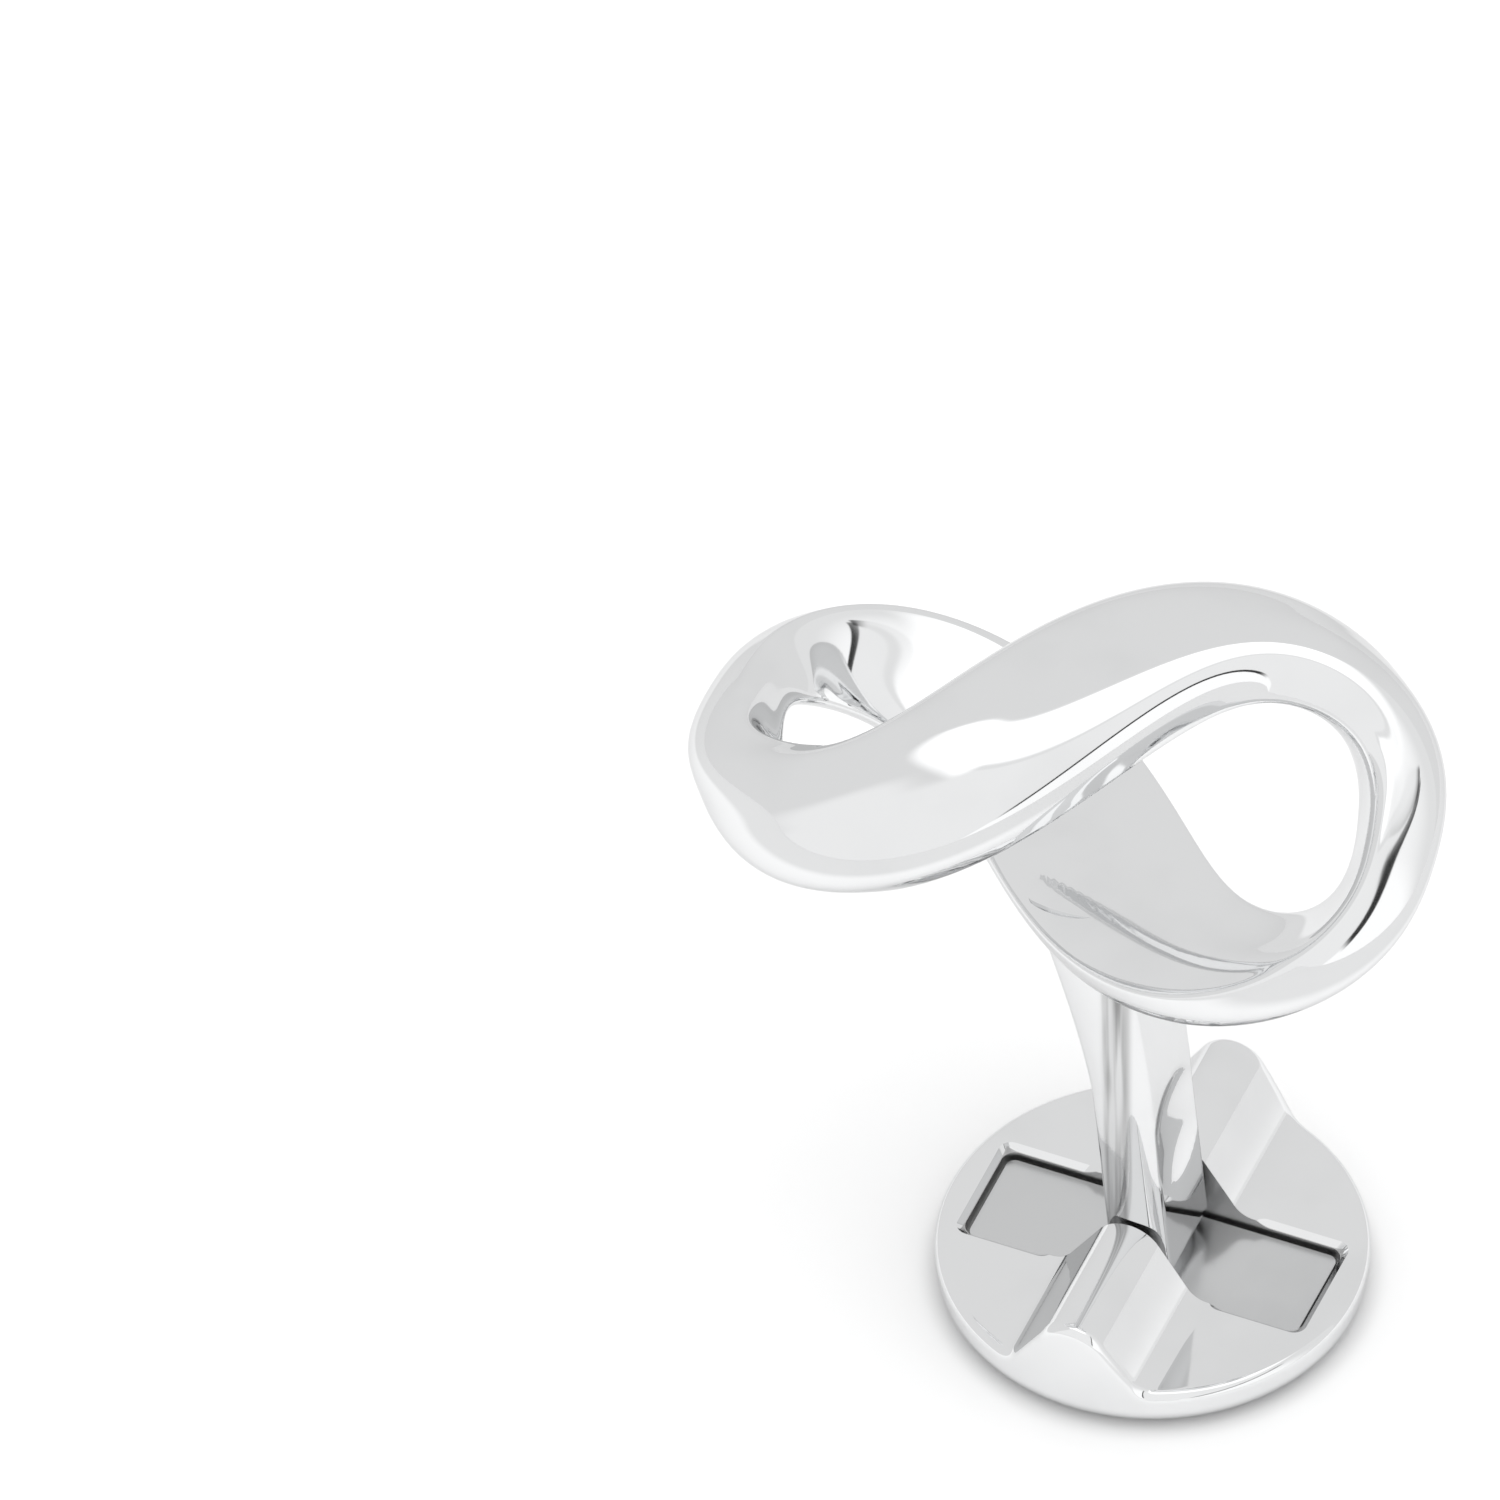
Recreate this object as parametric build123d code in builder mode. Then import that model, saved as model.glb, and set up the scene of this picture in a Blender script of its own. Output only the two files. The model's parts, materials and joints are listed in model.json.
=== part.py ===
"""Cufflink: a polished band folded into an upright figure of eight, on a post with a swivelling disc toggle.

Millimetres, +Z up. The origin is the middle of the toggle disc's underside, where it lies on the
table. X runs along the window in the toggle and along the figure of eight, Y along the toggle's
hinge. The toggle lies flat and the post leans a little towards -X, as the piece stands at rest.
"""
import os
from math import cos, pi, radians, sin, tan

from build123d import *

# Toggle disc and its ridge
disc_diameter = 14.0
disc_thickness = 1.6
rim_upper_round = 0.35
rim_lower_round = 0.9
hinge_height = 1.3
crest_radius = 1.2
flank_angle = 57.0
ridge_foot_round = 0.8

# Window across the ridge, with the plate that lies on its floor
window_end_wall = 1.15
window_width = 3.9
window_depth = 0.4
window_corner = 0.45
window_chamfer = 0.2
CHAMFER_ANGLE = 45
plate_thickness = 0.3
plate_gap = 0.12

# Hinge pin
pin_diameter = 1.0
pin_end_wall = 2.9
pin_seat_play = 0.01
pin_running_play = 0.03
pin_end_play = 0.1

# Post, its heights measured from the hinge axis
foot_side_play = 0.1
foot_floor_play = 0.12
post_thickness = 2.1
post_offset = 0.15
post_bulge = 0.25
post_top_thickness = 3.1
post_top_offset = -0.65
post_top_width = 4.5
flare_start = 6.5
flute_depth = 0.25
flute_bottom = 1.9
flute_top = 6.4

# Folded band, and the place of its middle over the hinge axis
loop_reach = 10.7
loop_side = 4.4
strand_rise = 3.56
strand_half_width = 3.0
strand_crown = 1.9
strand_belly = 0.8
face_height = 19.36
face_offset = -1.18

# How the piece stands: the post's lean, and how far the band is turned on it, in degrees
post_lean_angle = 5.0
face_tip_angle = 1.5
face_cant_angle = 12.0
face_turn_angle = 3.5

# The band at equal turns of half a figure of eight, from the middle of the upper strand round the
# +X loop to the middle of the lower strand. Each column is a share of the named size beside it.
BAND_COLUMNS = ("reach", "side", "rise", "width", "belly", "roll")
BAND = (
    # loop_reach, loop_side, strand_rise, strand_half_width, strand_belly, degrees past the turn
    (0.00, 0.00, 0.97, 0.98, 1.02, 0.0),
    (0.49, 0.98, 0.69, 0.83, 0.98, -1.0),
    (0.90, 0.63, 0.26, 0.62, 0.99, -30.0),
    (1.00, -0.04, 0.13, 0.37, 0.80, -32.0),
    (0.92, -0.64, -0.21, 0.49, 0.55, -20.0),
    (0.51, -0.86, -0.78, 0.79, 0.48, -23.0),
    (0.00, 0.00, -1.09, 1.01, 0.44, 0.0),
)
SECTIONS = 36
POST_FLARE_AT_MIDDLE = 0.38

# The section of the band: shares of its half width across and of its crown or belly up or down
SHOULDER = (0.80, 0.73)
UPPER_EDGE = (0.93, 0.51)
LOWER_EDGE = (0.97, 0.50)
CREASE = (0.84, 0.84)


def odd_waves(column):
    """Sine waves through a column that changes sign at both crossings."""
    steps = len(BAND) - 1
    values = [row[column] for row in BAND]
    return [
        2 / steps * sum(values[i] * sin(k * pi * i / steps) for i in range(1, steps))
        for k in range(steps)
    ]


def even_waves(column):
    """Cosine waves through a column that is level at both crossings."""
    steps = len(BAND) - 1
    values = [row[column] for row in BAND]
    waves = []
    for k in range(steps + 1):
        ends = (values[0] + values[-1] * cos(k * pi)) / 2
        inner = sum(values[i] * cos(k * pi * i / steps) for i in range(1, steps))
        share = 1 if k in (0, steps) else 2
        waves.append(share / steps * (ends + inner))
    return waves


REACH, SIDE, ROLL = (odd_waves(BAND_COLUMNS.index(name)) for name in ("reach", "side", "roll"))
RISE, WIDTH, BELLY = (even_waves(BAND_COLUMNS.index(name)) for name in ("rise", "width", "belly"))


def odd(waves, turn):
    """Value at a turn, in radians, of a column made of sine waves."""
    return sum(wave * sin(k * turn) for k, wave in enumerate(waves))


def even(waves, turn):
    """Value at a turn, in radians, of a column made of cosine waves."""
    return sum(wave * cos(k * turn) for k, wave in enumerate(waves))


def centre(turn):
    """Point on the band's centre line."""
    return Vector(
        loop_reach * odd(REACH, turn), loop_side * odd(SIDE, turn), strand_rise * even(RISE, turn)
    )


def band_plane(turn):
    """Plane across the band: its X is the band's width and its Y points out of the crown."""
    step = radians(1)
    along = (centre(turn + step) - centre(turn - step)).normalized()
    level = Vector(0, 0, 1).cross(along).normalized()
    over = along.cross(level)
    roll = -turn + radians(odd(ROLL, turn))
    across = level * cos(roll) + over * sin(roll)
    return Plane(origin=centre(turn), x_dir=across, z_dir=along)


def ridge_half():
    """Points of the ridge's outline on its +X side, from the crest to the root inside the disc."""
    slope = radians(flank_angle)
    crest = (0, hinge_height + crest_radius)
    shoulder = (crest_radius * sin(slope / 2), hinge_height + crest_radius * cos(slope / 2))
    flank_top = (crest_radius * sin(slope), hinge_height + crest_radius * cos(slope))
    drop = flank_top[1] - ridge_foot_round * (1 - cos(slope))
    foot_centre = flank_top[0] + drop / tan(slope) + ridge_foot_round * sin(slope)
    flank_end = (foot_centre - ridge_foot_round * sin(slope), ridge_foot_round * (1 - cos(slope)))
    hollow = (
        foot_centre - ridge_foot_round * sin(slope / 2), ridge_foot_round * (1 - cos(slope / 2))
    )
    foot = (foot_centre, 0)
    root = (foot_centre, -disc_thickness / 2)
    return crest, shoulder, flank_top, flank_end, hollow, foot, root


disc_radius = disc_diameter / 2
ridge_top = disc_thickness + hinge_height + crest_radius
window_length = disc_diameter - 2 * window_end_wall
bore_length = disc_diameter - 2 * pin_end_wall
foot_width = window_width - 2 * foot_side_play
foot_radius = hinge_height + window_depth - foot_floor_play
flute_reach = foot_width / 2 - post_bulge
flute_radius = (flute_reach**2 + flute_depth**2) / (2 * flute_depth)
crest, shoulder, flank_top, flank_end, hollow, foot, root = ridge_half()
disc_top = Plane.XY.offset(disc_thickness)
plate_seat = Plane.XY.offset(disc_thickness - window_depth - plate_thickness)
ridge_plane = Plane(origin=(0, 0, disc_thickness), x_dir=(1, 0, 0), z_dir=(0, -1, 0))
hinge_plane = Plane(origin=(0, 0, disc_thickness + hinge_height), x_dir=(1, 0, 0), z_dir=(0, -1, 0))


def other_side(point):
    """The same point of an outline on its -X side."""
    return (-point[0], point[1])


def window_outline(margin):
    """The window's rounded rectangle, larger or smaller by a margin all round."""
    RectangleRounded(
        window_length + 2 * margin, window_width + 2 * margin, window_corner + margin
    )


def post_outline(flare):
    """The post's outline at a share of its flare: flat sides, and a front and a back that bulge."""
    middle = post_offset + flare * (post_top_offset - post_offset)
    thickness = post_thickness + flare * (post_top_thickness - post_thickness)
    width = foot_width + flare * (post_top_width - foot_width)
    left = middle - thickness / 2
    right = middle + thickness / 2
    corner = width / 2 - post_bulge
    with BuildLine() as outline:
        ThreePointArc((left, -corner), (middle, -width / 2), (right, -corner))
        Line((right, -corner), (right, corner))
        ThreePointArc((right, corner), (middle, width / 2), (left, corner))
        Line((left, corner), (left, -corner))
    make_face(outline.edges())


os.makedirs("parts", exist_ok=True)

# Toggle disc: the ridge runs right across it and ends in the same rounded rim
with BuildPart() as toggle_disc:
    with BuildSketch():
        Circle(disc_radius)
    extrude(amount=disc_thickness)
    with BuildSketch(ridge_plane):
        with BuildLine():
            ThreePointArc(crest, shoulder, flank_top)
            Line(flank_top, flank_end)
            ThreePointArc(flank_end, hollow, foot)
            Polyline(foot, root, other_side(root), other_side(foot))
            ThreePointArc(other_side(foot), other_side(hollow), other_side(flank_end))
            Line(other_side(flank_end), other_side(flank_top))
            ThreePointArc(other_side(flank_top), other_side(shoulder), crest)
        make_face()
    extrude(amount=disc_diameter, both=True)
    with BuildSketch():
        Circle(disc_radius)
    extrude(amount=ridge_top, mode=Mode.INTERSECT)
    fillet(toggle_disc.edges().group_by(Axis.Z)[0], rim_lower_round)
    rim = [
        edge
        for edge in toggle_disc.edges()
        if edge.center().Z > disc_thickness - rim_upper_round
        and abs(Vector(edge.center().X, edge.center().Y).length - disc_radius) < rim_upper_round
    ]
    fillet(rim, rim_upper_round)
    # Window, its chamfered long edges and the bore for the pin
    with BuildSketch(plate_seat):
        window_outline(0)
    extrude(amount=ridge_top, mode=Mode.SUBTRACT)
    arm_length = window_length / 2 + window_chamfer - foot[0]
    with BuildSketch(disc_top):
        for side in (-1, 1):
            with Locations((side * (foot[0] + arm_length / 2), 0)):
                RectangleRounded(arm_length, window_width + 2 * window_chamfer, window_corner)
    extrude(amount=-window_chamfer, taper=CHAMFER_ANGLE, mode=Mode.SUBTRACT)
    with BuildSketch(hinge_plane):
        Circle(pin_diameter / 2 + pin_seat_play)
    extrude(amount=bore_length / 2, both=True, mode=Mode.SUBTRACT)
toggle_disc.part.label = "toggle_disc"
export_step(toggle_disc.part, "parts/toggle_disc.step")

# Plate on the floor of the window
with BuildPart() as toggle_plate:
    with BuildSketch(plate_seat):
        window_outline(-plate_gap)
    extrude(amount=plate_thickness)
toggle_plate.part.label = "toggle_plate"
export_step(toggle_plate.part, "parts/toggle_plate.step")

# Pin through the ridge and the foot of the post
with BuildPart() as hinge_pin:
    with BuildSketch(hinge_plane):
        Circle(pin_diameter / 2)
    extrude(amount=bore_length / 2 - pin_end_play, both=True)
hinge_pin.part.label = "hinge_pin"
export_step(hinge_pin.part, "parts/hinge_pin.step")

# Band, a closed loft that starts and ends over the post, in the middle of the lower strand
with BuildPart() as band:
    for step in range(SECTIONS):
        turn = pi + 2 * pi * step / SECTIONS
        half_width = strand_half_width * even(WIDTH, turn)
        belly = strand_belly * even(BELLY, turn)
        edge = (half_width, 0)
        upper = (UPPER_EDGE[0] * half_width, UPPER_EDGE[1] * strand_crown)
        brow = (SHOULDER[0] * half_width, SHOULDER[1] * strand_crown)
        lower = (LOWER_EDGE[0] * half_width, -LOWER_EDGE[1] * belly)
        crease = (CREASE[0] * half_width, -CREASE[1] * belly)
        with BuildSketch(band_plane(turn)):
            with BuildLine():
                ThreePointArc(edge, upper, brow)
                ThreePointArc(brow, (0, strand_crown), other_side(brow))
                ThreePointArc(other_side(brow), other_side(upper), other_side(edge))
                ThreePointArc(other_side(edge), other_side(lower), other_side(crease))
                ThreePointArc(other_side(crease), (0, -belly), crease)
                ThreePointArc(crease, lower, edge)
            make_face()
    ring = list(band.pending_faces)
    loft([*ring, ring[0]])

# Band and post, one soldered piece. The post is drawn upright over the hinge, then leans with the band
swivel = Location((0, 0, disc_thickness + hinge_height)) * Location((0, 0, 0), (0, -post_lean_angle, 0))
seat = (
    Location((face_offset, 0, face_height))
    * Location((0, 0, 0), (0, face_tip_angle, 0))
    * Location((0, 0, 0), (face_cant_angle, 0, 0))
    * Location((0, 0, 0), (0, 0, face_turn_angle))
)
post_top = face_height + strand_rise * even(RISE, pi)
post_flares = (
    (flare_start, 0),
    (flare_start + (post_top - flare_start) / 2, POST_FLARE_AT_MIDDLE),
    (post_top, 1),
)
with BuildPart() as infinity_face_and_post:
    with BuildSketch(Plane.XY.offset(-foot_radius)):
        post_outline(0)
    extrude(amount=foot_radius + flare_start)
    with BuildSketch(Plane.XZ):
        Circle(foot_radius)
        Rectangle(2 * foot_radius, flare_start, align=(Align.CENTER, Align.MIN))
    extrude(amount=foot_width, both=True, mode=Mode.INTERSECT)
    for height, flare in post_flares:
        with BuildSketch(Plane.XY.offset(height)):
            post_outline(flare)
    loft()
    # A shallow flute with round ends in each flat side
    flute_length = flute_top - flute_bottom - 2 * flute_reach
    for side in (-1, 1):
        middle = post_offset + side * (post_thickness / 2 - flute_depth + flute_radius)
        low_end = (middle, 0, flute_bottom + flute_reach)
        high_end = (middle, 0, flute_top - flute_reach)
        with Locations(low_end, high_end):
            Sphere(flute_radius, mode=Mode.SUBTRACT)
        with Locations(low_end):
            Cylinder(
                flute_radius, flute_length, align=(Align.CENTER, Align.CENTER, Align.MIN), mode=Mode.SUBTRACT
            )
    with BuildSketch(Plane.XZ):
        Circle(pin_diameter / 2 + pin_running_play)
    extrude(amount=foot_width, both=True, mode=Mode.SUBTRACT)
    add(band.part.moved(seat))
infinity_face_and_post.part = infinity_face_and_post.part.moved(swivel)
infinity_face_and_post.part.label = "infinity_face_and_post"
export_step(infinity_face_and_post.part, "parts/infinity_face_and_post.step")
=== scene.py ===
"""A polished figure-of-eight cufflink standing on its round swivel toggle, dressed for the photograph's view.

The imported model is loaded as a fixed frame. The band, the post, the toggle disc and the plate in its
window are modelled here as fine meshes on the same sizes, each with its own finish, and stand for the
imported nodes. Lengths are in metres, worked out from sizes in millimetres. X runs along the window in
the toggle, Y along its hinge, and Z up.
"""
import json
import logging
from collections.abc import Callable, Iterator
from contextlib import contextmanager
from dataclasses import dataclass, field, replace
from enum import Enum, IntEnum
from math import cos, hypot, pi, radians, sin, sqrt, tan

import bpy
import numpy as np
from mathutils import Matrix, Vector


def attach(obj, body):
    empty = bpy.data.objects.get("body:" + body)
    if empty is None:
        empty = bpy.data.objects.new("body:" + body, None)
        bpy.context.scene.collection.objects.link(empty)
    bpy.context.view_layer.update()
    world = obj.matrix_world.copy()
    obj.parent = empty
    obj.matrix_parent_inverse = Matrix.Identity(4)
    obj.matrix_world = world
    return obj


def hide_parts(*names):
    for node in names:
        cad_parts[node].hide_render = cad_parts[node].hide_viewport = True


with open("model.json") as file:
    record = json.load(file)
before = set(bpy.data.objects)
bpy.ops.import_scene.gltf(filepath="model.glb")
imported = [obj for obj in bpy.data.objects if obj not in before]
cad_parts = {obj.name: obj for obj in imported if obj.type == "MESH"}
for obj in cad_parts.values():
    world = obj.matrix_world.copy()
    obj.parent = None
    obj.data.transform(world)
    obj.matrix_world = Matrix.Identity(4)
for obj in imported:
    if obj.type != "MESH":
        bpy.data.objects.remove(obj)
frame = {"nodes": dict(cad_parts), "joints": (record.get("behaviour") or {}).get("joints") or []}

log = logging.getLogger("cufflink")

MM = 0.001
MERGE_DISTANCE = 1e-7
STEEPNESS = 10
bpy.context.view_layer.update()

# Where a smooth step begins and ends, and its value at both
Fade = tuple[float, float, float, float]


class Body(Enum):
    """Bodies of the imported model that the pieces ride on."""

    TOGGLE = "toggle"
    FACE = "face"


class Node(Enum):
    """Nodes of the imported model."""

    FACE_AND_POST = "infinity_face_and_post"
    DISC = "toggle_disc"
    PLATE = "toggle_plate"
    PIN = "hinge_pin"


class Slot(Enum):
    """The record's finish slots. The disc and the plate are listed with theirs, but nothing reads them."""

    PLATING = "polished_plating"
    PLATE = "plate_metal"


def direction(azimuth: float, elevation: float) -> Vector:
    """Unit vector, in degrees round from the front and over the table."""
    turn, lift = radians(azimuth), radians(elevation)
    return Vector((sin(turn) * cos(lift), -cos(turn) * cos(lift), sin(lift)))


# Edit-mode helpers


def clear_selection() -> None:
    """Leave edit mode and deselect every object."""
    if bpy.context.object and bpy.context.object.mode != "OBJECT":
        bpy.ops.object.mode_set(mode="OBJECT")
    bpy.ops.object.select_all(action="DESELECT")


def activate(piece: bpy.types.Object) -> None:
    """Make one piece the only selected object and the active one."""
    clear_selection()
    piece.select_set(True)
    bpy.context.view_layer.objects.active = piece


def added(name: str) -> bpy.types.Object:
    """Name the primitive that was just added, and bake its place into its mesh.

    Args:
        name: Name for the object and its mesh.

    Returns:
        The new object, at the origin, unturned and unscaled.
    """
    piece = bpy.context.object
    piece.name = piece.data.name = name
    bpy.ops.object.transform_apply(location=True, rotation=True, scale=True)
    return piece


@contextmanager
def editing(piece: bpy.types.Object) -> Iterator[bpy.types.Mesh]:
    """Edit mode on one piece, with nothing in it selected.

    Args:
        piece: The object to edit.

    Yields:
        The object's mesh.
    """
    activate(piece)
    bpy.ops.object.mode_set(mode="EDIT")
    bpy.ops.mesh.select_all(action="DESELECT")
    yield piece.data
    bpy.ops.object.mode_set(mode="OBJECT")


def select_edges(mesh: bpy.types.Mesh, wanted: Callable[[Vector, Vector], bool]) -> None:
    """Select the edges whose two ends meet a test, and no others.

    Args:
        mesh: The mesh in edit mode.
        wanted: The test, on the places of the two ends.
    """
    bpy.ops.mesh.select_mode(type="EDGE")
    bpy.ops.mesh.select_all(action="DESELECT")
    bpy.ops.object.mode_set(mode="OBJECT")
    for edge in mesh.edges:
        start, end = (mesh.vertices[i].co for i in edge.vertices)
        edge.select = wanted(start, end)
    bpy.ops.object.mode_set(mode="EDIT")


def upright(start: Vector, end: Vector) -> bool:
    """True for an edge that runs straight up."""
    return abs(start.z - end.z) > STEEPNESS * hypot(start.x - end.x, start.y - end.y)


def face_outward() -> None:
    """Turn every face of the mesh in edit mode outward."""
    bpy.ops.mesh.select_all(action="SELECT")
    bpy.ops.mesh.normals_make_consistent(inside=False)


def merge_close() -> None:
    """Merge the vertices that lie in one place, in the mesh in edit mode."""
    bpy.ops.mesh.select_all(action="SELECT")
    bpy.ops.mesh.remove_doubles(threshold=MERGE_DISTANCE)


def place_vertices(piece: bpy.types.Object, points: np.ndarray) -> None:
    """Move the vertices of a piece to new places, one row of x, y and z each."""
    piece.data.vertices.foreach_set("co", points.ravel())
    piece.data.update()


def vertices_of(piece: bpy.types.Object) -> np.ndarray:
    """The vertices of a piece, one row of x, y and z each."""
    points = np.empty(3 * len(piece.data.vertices))
    piece.data.vertices.foreach_get("co", points)
    return points.reshape(-1, 3)


def cut_away(piece: bpy.types.Object, cutter: bpy.types.Object) -> None:
    """Cut one solid out of another and delete the cutter.

    Args:
        piece: The solid that is cut.
        cutter: The solid that is taken out of it.
    """
    activate(piece)
    cut = piece.modifiers.new("cut", "BOOLEAN")
    cut.operation = "DIFFERENCE"
    cut.solver = "EXACT"
    cut.object = cutter
    bpy.ops.object.modifier_apply(modifier=cut.name)
    bpy.data.objects.remove(cutter, do_unlink=True)


def smooth(piece: bpy.types.Object, degrees: float) -> None:
    """Shade a piece smooth, with edges sharper than an angle left sharp."""
    activate(piece)
    bpy.ops.object.shade_smooth_by_angle(angle=radians(degrees))


def dress(piece: bpy.types.Object, material: bpy.types.Material) -> None:
    """Give a piece its only material and report it.

    Args:
        piece: The object.
        material: The material.
    """
    piece.data.materials.clear()
    piece.data.materials.append(material)
    log.info("%s: %d faces", piece.name, len(piece.data.polygons))


# Shader helpers


class Value:
    """One output socket of a node, with Python's operators standing for Math nodes."""

    def __init__(self, book: "NodeBook", socket: bpy.types.NodeSocket) -> None:
        """Keep the node tree's book and the socket."""
        self.book = book
        self.socket = socket

    def _math(self, operation: str, *others: "Value | float") -> "Value":
        """A Math node on this value and others."""
        return self.book.node("ShaderNodeMath", {"operation": operation}, dict(enumerate((self, *others))))

    def __add__(self, other: "Value | float") -> "Value":
        """Sum."""
        return self._math("ADD", other)

    def __mul__(self, other: "Value | float") -> "Value":
        """Product."""
        return self._math("MULTIPLY", other)

    def __sub__(self, other: "Value | float") -> "Value":
        """Difference."""
        return self._math("SUBTRACT", other)

    def __rsub__(self, other: float) -> "Value":
        """A number less this value."""
        return self * -1.0 + other

    def __truediv__(self, other: "Value | float") -> "Value":
        """Quotient."""
        return self._math("DIVIDE", other)

    def size(self) -> "Value":
        """This value without its sign."""
        return self._math("ABSOLUTE")

    def mix(self, low: "Value | float", high: "Value | float") -> "Value":
        """The low value where this one is nought, the high one where it is one."""
        return (1 - self) * low + self * high

    def ramp(self, low: float, high: float, start: float, end: float) -> "Value":
        """A smooth step from start to end as this value goes from low to high."""
        settings = {"interpolation_type": "SMOOTHSTEP"}
        return self.book.node("ShaderNodeMapRange", settings, {0: self, 1: low, 2: high, 3: start, 4: end})


class NodeBook:
    """Makes every node of one node tree."""

    def __init__(self, owner: bpy.types.Material | bpy.types.World) -> None:
        """Empty the owner's node tree."""
        owner.use_nodes = True
        self.tree = owner.node_tree
        self.tree.nodes.clear()

    def node(self, kind: str, settings: dict, inputs: dict, output: int | str = 0) -> Value:
        """Make one node.

        Args:
            kind: The node's type.
            settings: Its properties, set first.
            inputs: Values, or links from other nodes, by socket name or number.
            output: The output that the returned value stands for.

        Returns:
            The chosen output.
        """
        made = self.tree.nodes.new(kind)
        for name, setting in settings.items():
            setattr(made, name, setting)
        for name, given in inputs.items():
            if isinstance(given, Value):
                self.tree.links.new(given.socket, made.inputs[name])
            else:
                made.inputs[name].default_value = given
        return Value(self, made.outputs[output] if len(made.outputs) else None)

    def noise(self, place: Value, scale: float, detail: float) -> Value:
        """Noise from nought to one, with a scale per metre and a number of finer layers."""
        return self.node("ShaderNodeTexNoise", {}, {"Vector": place, "Scale": scale, "Detail": detail})

    def blend(self, share: Value, first: Value | tuple, second: Value | tuple) -> Value:
        """A colour between two."""
        return self.node("ShaderNodeMix", {"data_type": "RGBA"}, {0: share, 6: first, 7: second}, 2)


def grey(level: float) -> tuple[float, ...]:
    """A grey as red, green, blue and alpha."""
    return level, level, level, 1.0


@dataclass(frozen=True)
class DullPaintedShade:
    """A rougher part of a finish whose colour is darkened as painted shade: all inside an upright rectangular
    column, or all outside it.

    Attributes:
        half_length, half_width: Half the column's length along X, and half its width along Y.
        blur: How far the change reaches.
        tint, roughness: Brightness of the painted shade there, and roughness there.
        middle: X and Y of the column's middle.
        outside: True where the painted shade is outside the column.
        streaks, streak_stretch: Noise per metre across upright painted dark streaks in it, or nought for an
            even part, and the share of that noise along the streaks.
        streak_fade: How dark and rough the painted streaks are, by the noise.
    """

    half_length: float
    half_width: float
    blur: float
    tint: float
    roughness: float
    middle: tuple[float, float] = (0.0, 0.0)
    outside: bool = False
    streaks: float = 0.0
    streak_stretch: float = 0.03
    streak_fade: Fade = (0.35, 0.62, 0.25, 1.0)

    def share(self, book: NodeBook, place: Value) -> Value:
        """Where the painted shade and its added roughness lie.

        Args:
            book: The material's node tree.
            place: Place on the piece.

        Returns:
            One in the painted shade and nought off it.
        """
        # Painted shade: one inside the column, or outside it, softened at its edges and broken into dark
        # streaks if asked.
        within = 1.0
        for axis, middle, half in zip("XY", self.middle, (self.half_length, self.half_width)):
            away = (book.node("ShaderNodeSeparateXYZ", {}, {"Vector": place}, axis) - middle).size()
            within = away.ramp(half - self.blur, half + self.blur, 1.0, 0.0) * within
        if self.streaks:
            stretch = (1.0, 1.0, self.streak_stretch)
            flat = book.node("ShaderNodeMapping", {}, {"Vector": place, "Scale": stretch})
            noise = book.noise(flat, self.streaks, 2.0)
            within = within * noise.ramp(*self.streak_fade)
        return 1 - within if self.outside else within


@dataclass(frozen=True)
class MetalFinish:
    """A plated metal with faint polishing marks, and painted shade with added roughness in one part if it has
    one.

    Attributes:
        name: Name of the material.
        tint, handled_tint: Colour of the metal, and its colour where it is a little duller.
        roughness, haze: Roughness of the clean polish, and how much is added where it is duller.
        edge_tint: How much of the light the metal keeps where it is seen edge on.
        haze_scale, haze_fade: Noise per metre of the duller patches, and how dull they are by it.
        mark_scale, mark_height, mark_strength: Noise per metre of the polishing marks, their height
            and the strength of their bump.
        mark_sheen: Share by which the marks change the roughness.
        dull_painted_shade: A rougher part of the piece with painted shade in its colour, if there is one.
    """

    name: str
    tint: tuple[float, float, float]
    handled_tint: tuple[float, float, float]
    roughness: float
    haze: float
    edge_tint: float = 0.78
    haze_scale: float = 260.0
    haze_fade: Fade = (0.45, 0.75, 0.0, 1.0)
    mark_scale: float = 9000.0
    mark_height: float = 0.0
    mark_strength: float = 0.2
    mark_sheen: float = 0.3
    dull_painted_shade: DullPaintedShade | None = None

    def material(self) -> bpy.types.Material:
        """Build the material.

        Returns:
            The material.
        """
        made = bpy.data.materials.new(self.name)
        book = NodeBook(made)
        place = book.node("ShaderNodeTexCoord", {}, {}, "Object")
        patches = book.noise(place, self.haze_scale, 3.0)
        marks = book.noise(place, self.mark_scale, 2.0)
        dull = patches.ramp(*self.haze_fade)
        colour = book.blend(dull, (*self.tint, 1.0), (*self.handled_tint, 1.0))
        even = self.roughness * (1 - self.mark_sheen / 2)
        roughness = dull * self.haze + marks * (self.roughness * self.mark_sheen) + even
        # Painted shade: the colour is darkened towards a grey in one part, and roughened there.
        if self.dull_painted_shade:
            share = self.dull_painted_shade.share(book, place)
            colour = book.blend(share, colour, grey(self.dull_painted_shade.tint))
            roughness = share.mix(roughness, self.dull_painted_shade.roughness)
        relief = {"Strength": self.mark_strength, "Distance": self.mark_height, "Height": marks}
        looks = {
            "Base Color": colour,
            "Metallic": 1.0,
            "Specular Tint": grey(self.edge_tint),
            "Roughness": roughness,
            "Normal": book.node("ShaderNodeBump", {}, relief),
        }
        surface = book.node("ShaderNodeBsdfPrincipled", {}, looks)
        book.node("ShaderNodeOutputMaterial", {}, {"Surface": surface})
        return made


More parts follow.
